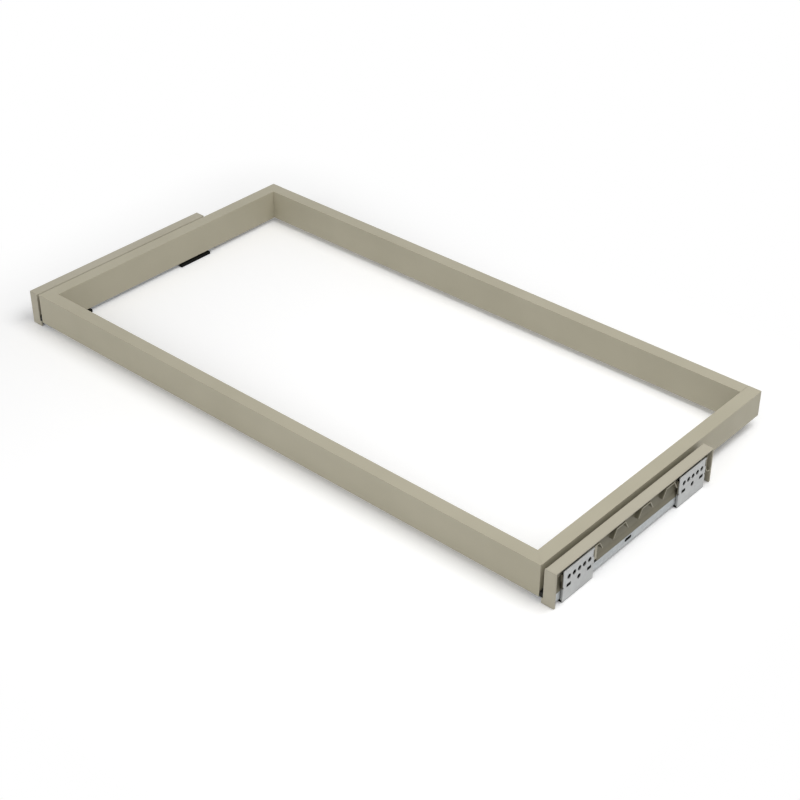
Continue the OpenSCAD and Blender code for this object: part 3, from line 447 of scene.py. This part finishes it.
# Finish of each piece, by the name of its node without _l or _r.
LOOKS = {
    "front_rail": FRAME, "back_rail": FRAME, "left_rail": FRAME, "right_rail": FRAME,
    "front_corner": CAST, "rear_plug": CAST, "block_screws_set": SCREW, "plug_screws_set": SCREW,
    "drawer_rail": SLIDE, "cabinet_rail": SLIDE, "mid_rail": SLIDE, "drawer_screws": SCREW,
    "carrier_rail": GALV, "striker": GALV, "carrier_rivets": SCREW,
    "front_bracket": ZINC, "rear_bracket": ZINC, "front_shoe": SHOE, "rear_shoe": SHOE,
    "cover": COVER, "end_cap": BLACK, "slot_plug": SHOE,
    "damper_tube": DAMPER, "damper_holder": BLACK, "rear_buffer": RUBBER,
    "outer_cage": CAGE, "inner_cage": CAGE, "outer_balls": BALL, "inner_balls": BALL,
    "plunger_rod": ROD, "plunger_tip": BLACK,
}
for name, obj in NODES.items():
    look = LOOKS.get(name) or LOOKS[name.rsplit("_", 1)[0]]
    if not obj.material_slots:
        obj.data.materials.append(look)
    for slot in obj.material_slots:
        slot.material = look


# Studio
def seen_rays(nt):
    """1 for the rays that show the background: from the camera, in a mirror and through glass"""
    path = nt.nodes.new("ShaderNodeLightPath")
    total = path.outputs["Is Camera Ray"]
    for other in ("Is Glossy Ray", "Is Transmission Ray"):
        total = calc(nt, "MAXIMUM", total, path.outputs[other])
    return total


def floor_material():
    """pale floor that keeps the shadow, is seen as plain white in the open and clear from below"""
    mat, nt, bsdf, _ = new_material("studio_floor")
    tone = mix_colour(nt, seen_rays(nt), (FLOOR,)*3, (FLOOR_SEEN,)*3)
    nt.links.new(tone, bsdf.inputs["Base Color"])
    bsdf.inputs["Roughness"].default_value = 1.0
    bsdf.inputs["Specular IOR Level"].default_value = 0.0
    white = nt.nodes.new("ShaderNodeEmission")
    white.inputs["Color"].default_value = WHITE
    white.inputs["Strength"].default_value = 1.0
    place = nt.nodes.new("ShaderNodeNewGeometry")
    offset = vector_calc(nt, "SUBTRACT", place.outputs["Position"], MIDDLE)
    beyond = vector_calc(nt, "SUBTRACT", vector_calc(nt, "ABSOLUTE", offset), HALF)
    distance = vector_calc(nt, "LENGTH", vector_calc(nt, "MAXIMUM", beyond, (0, 0, 0)))
    grow = ramp(nt, distance, *WHITE_REACH, WHITE_NEAR, 1.0)
    grow.node.interpolation_type = "SMOOTHSTEP"
    above = mix_shader(nt, calc(nt, "MULTIPLY", seen_rays(nt), grow), bsdf.outputs["BSDF"],
                       white.outputs["Emission"])
    clear = nt.nodes.new("ShaderNodeBsdfTransparent")
    both = mix_shader(nt, place.outputs["Backfacing"], above, clear.outputs["BSDF"])
    out = [n for n in nt.nodes if n.type == "OUTPUT_MATERIAL"][0]
    nt.links.new(both, out.inputs["Surface"])
    return mat


def add_floor(scene):
    """one large square just below the part's feet"""
    bm = bmesh.new()
    for x, y in ((-1, -1), (1, -1), (1, 1), (-1, 1)):
        bm.verts.new((x*FLOOR_HALF, y*FLOOR_HALF, -FLOOR_DROP))
    bm.faces.new(bm.verts)
    me = bpy.data.meshes.new("floor")
    bm.to_mesh(me)
    bm.free()
    floor = bpy.data.objects.new("floor", me)
    scene.collection.objects.link(floor)
    me.materials.append(floor_material())


def add_world(scene):
    """soft light from all round that is seen as plain white"""
    world = bpy.data.worlds.new("studio")
    scene.world = world
    world.use_nodes = True
    nt = world.node_tree
    nt.nodes.clear()
    out = nt.nodes.new("ShaderNodeOutputWorld")
    tones = []
    for strength in (AMBIENT, 1.0):
        tone = nt.nodes.new("ShaderNodeBackground")
        tone.inputs["Color"].default_value = WHITE
        tone.inputs["Strength"].default_value = strength
        tones.append(tone.outputs["Background"])
    nt.links.new(mix_shader(nt, seen_rays(nt), *tones), out.inputs["Surface"])


def add_lamps(scene):
    """round area lamps that point at the origin"""
    for name, place, size, power in LAMPS:
        data = bpy.data.lights.new(name, "AREA")
        data.shape = "DISK"
        data.size = size
        data.energy = power
        lamp = bpy.data.objects.new(name, data)
        lamp.location = place
        lamp.rotation_euler = (-Vector(place)).to_track_quat("-Z", "Y").to_euler()
        scene.collection.objects.link(lamp)


def add_camera(scene):
    """the photographed view, from the solve of the ring's corners"""
    target = Vector(((AIM[0] - 0.5)*RING_W, AIM[1]*RING_W - RING_D/2, RING_TOP))
    back = Vector((math.sin(AZIMUTH)*math.cos(ELEVATION), -math.cos(AZIMUTH)*math.cos(ELEVATION),
                   math.sin(ELEVATION)))
    data = bpy.data.cameras.new("camera")
    data.lens = FOCAL_PX/PHOTO_PX*SENSOR
    data.sensor_width = SENSOR
    data.clip_start, data.clip_end = 0.05, 100
    cam = bpy.data.objects.new("camera", data)
    cam.location = target + back*(DISTANCE*RING_W)
    cam.rotation_mode = "QUATERNION"
    cam.rotation_quaternion = (-back).to_track_quat("-Z", "Y")
    scene.collection.objects.link(cam)
    scene.camera = cam
    scene.view_settings.view_transform = "Standard"
    scene.view_settings.look = "None"
    scene.view_settings.exposure = 0.0
    scene.view_settings.gamma = 1.0


for add_part in (add_floor, add_world, add_lamps, add_camera):
    add_part(bpy.context.scene)

bpy.context.view_layer.update()
